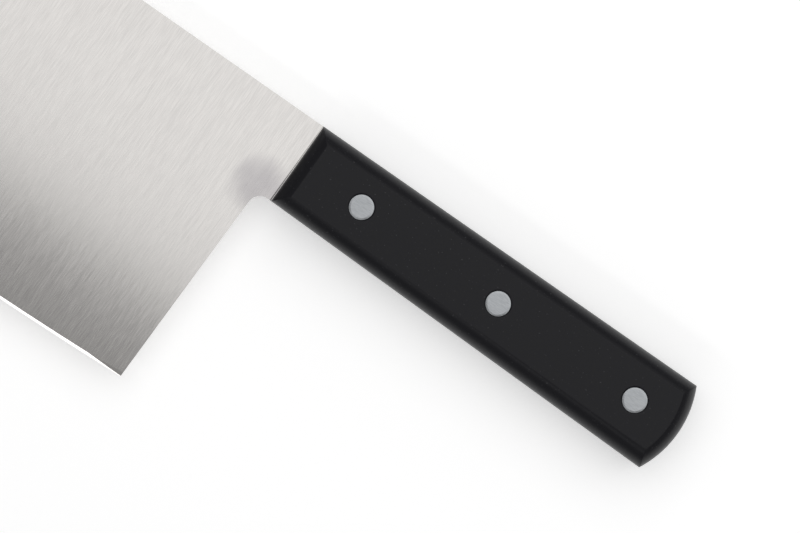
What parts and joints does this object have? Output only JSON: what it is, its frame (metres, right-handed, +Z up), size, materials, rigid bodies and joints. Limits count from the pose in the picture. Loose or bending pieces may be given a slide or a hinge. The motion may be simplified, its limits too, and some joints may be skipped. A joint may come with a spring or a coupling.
{
  "type": "chinese cleaver",
  "caption": "Chinese cleaver with a tall rectangular ground blade, a full tang, flat handle slabs with rounded sides, and flush round rivets.",
  "frame": {"origin": "under the centre of the knife's box, on the plane that its lower handle face lies on", "axes": "+X along the knife from the nose of the blade to the butt of the handle, +Y from the cutting edge to the spine, +Z up through the thickness, out of the side that the picture shows"},
  "size_m": [0.304, 0.0886, 0.018],
  "materials": {
    "blade_steel": "brushed across the blade, from spine to edge",
    "handle_plastic": "satin black",
    "rivet_steel": "fine satin, with a brighter eased rim"
  },
  "bodies": {
    "root": {"blade": "blade_steel", "scale_front": "handle_plastic", "scale_back": "handle_plastic", "rivet_pin_front": "rivet_steel", "rivet_pin_middle": "rivet_steel", "rivet_pin_rear": "rivet_steel", "rivet_socket_front": "rivet_steel", "rivet_socket_middle": "rivet_steel", "rivet_socket_rear": "rivet_steel"}
  },
  "joints": []
}
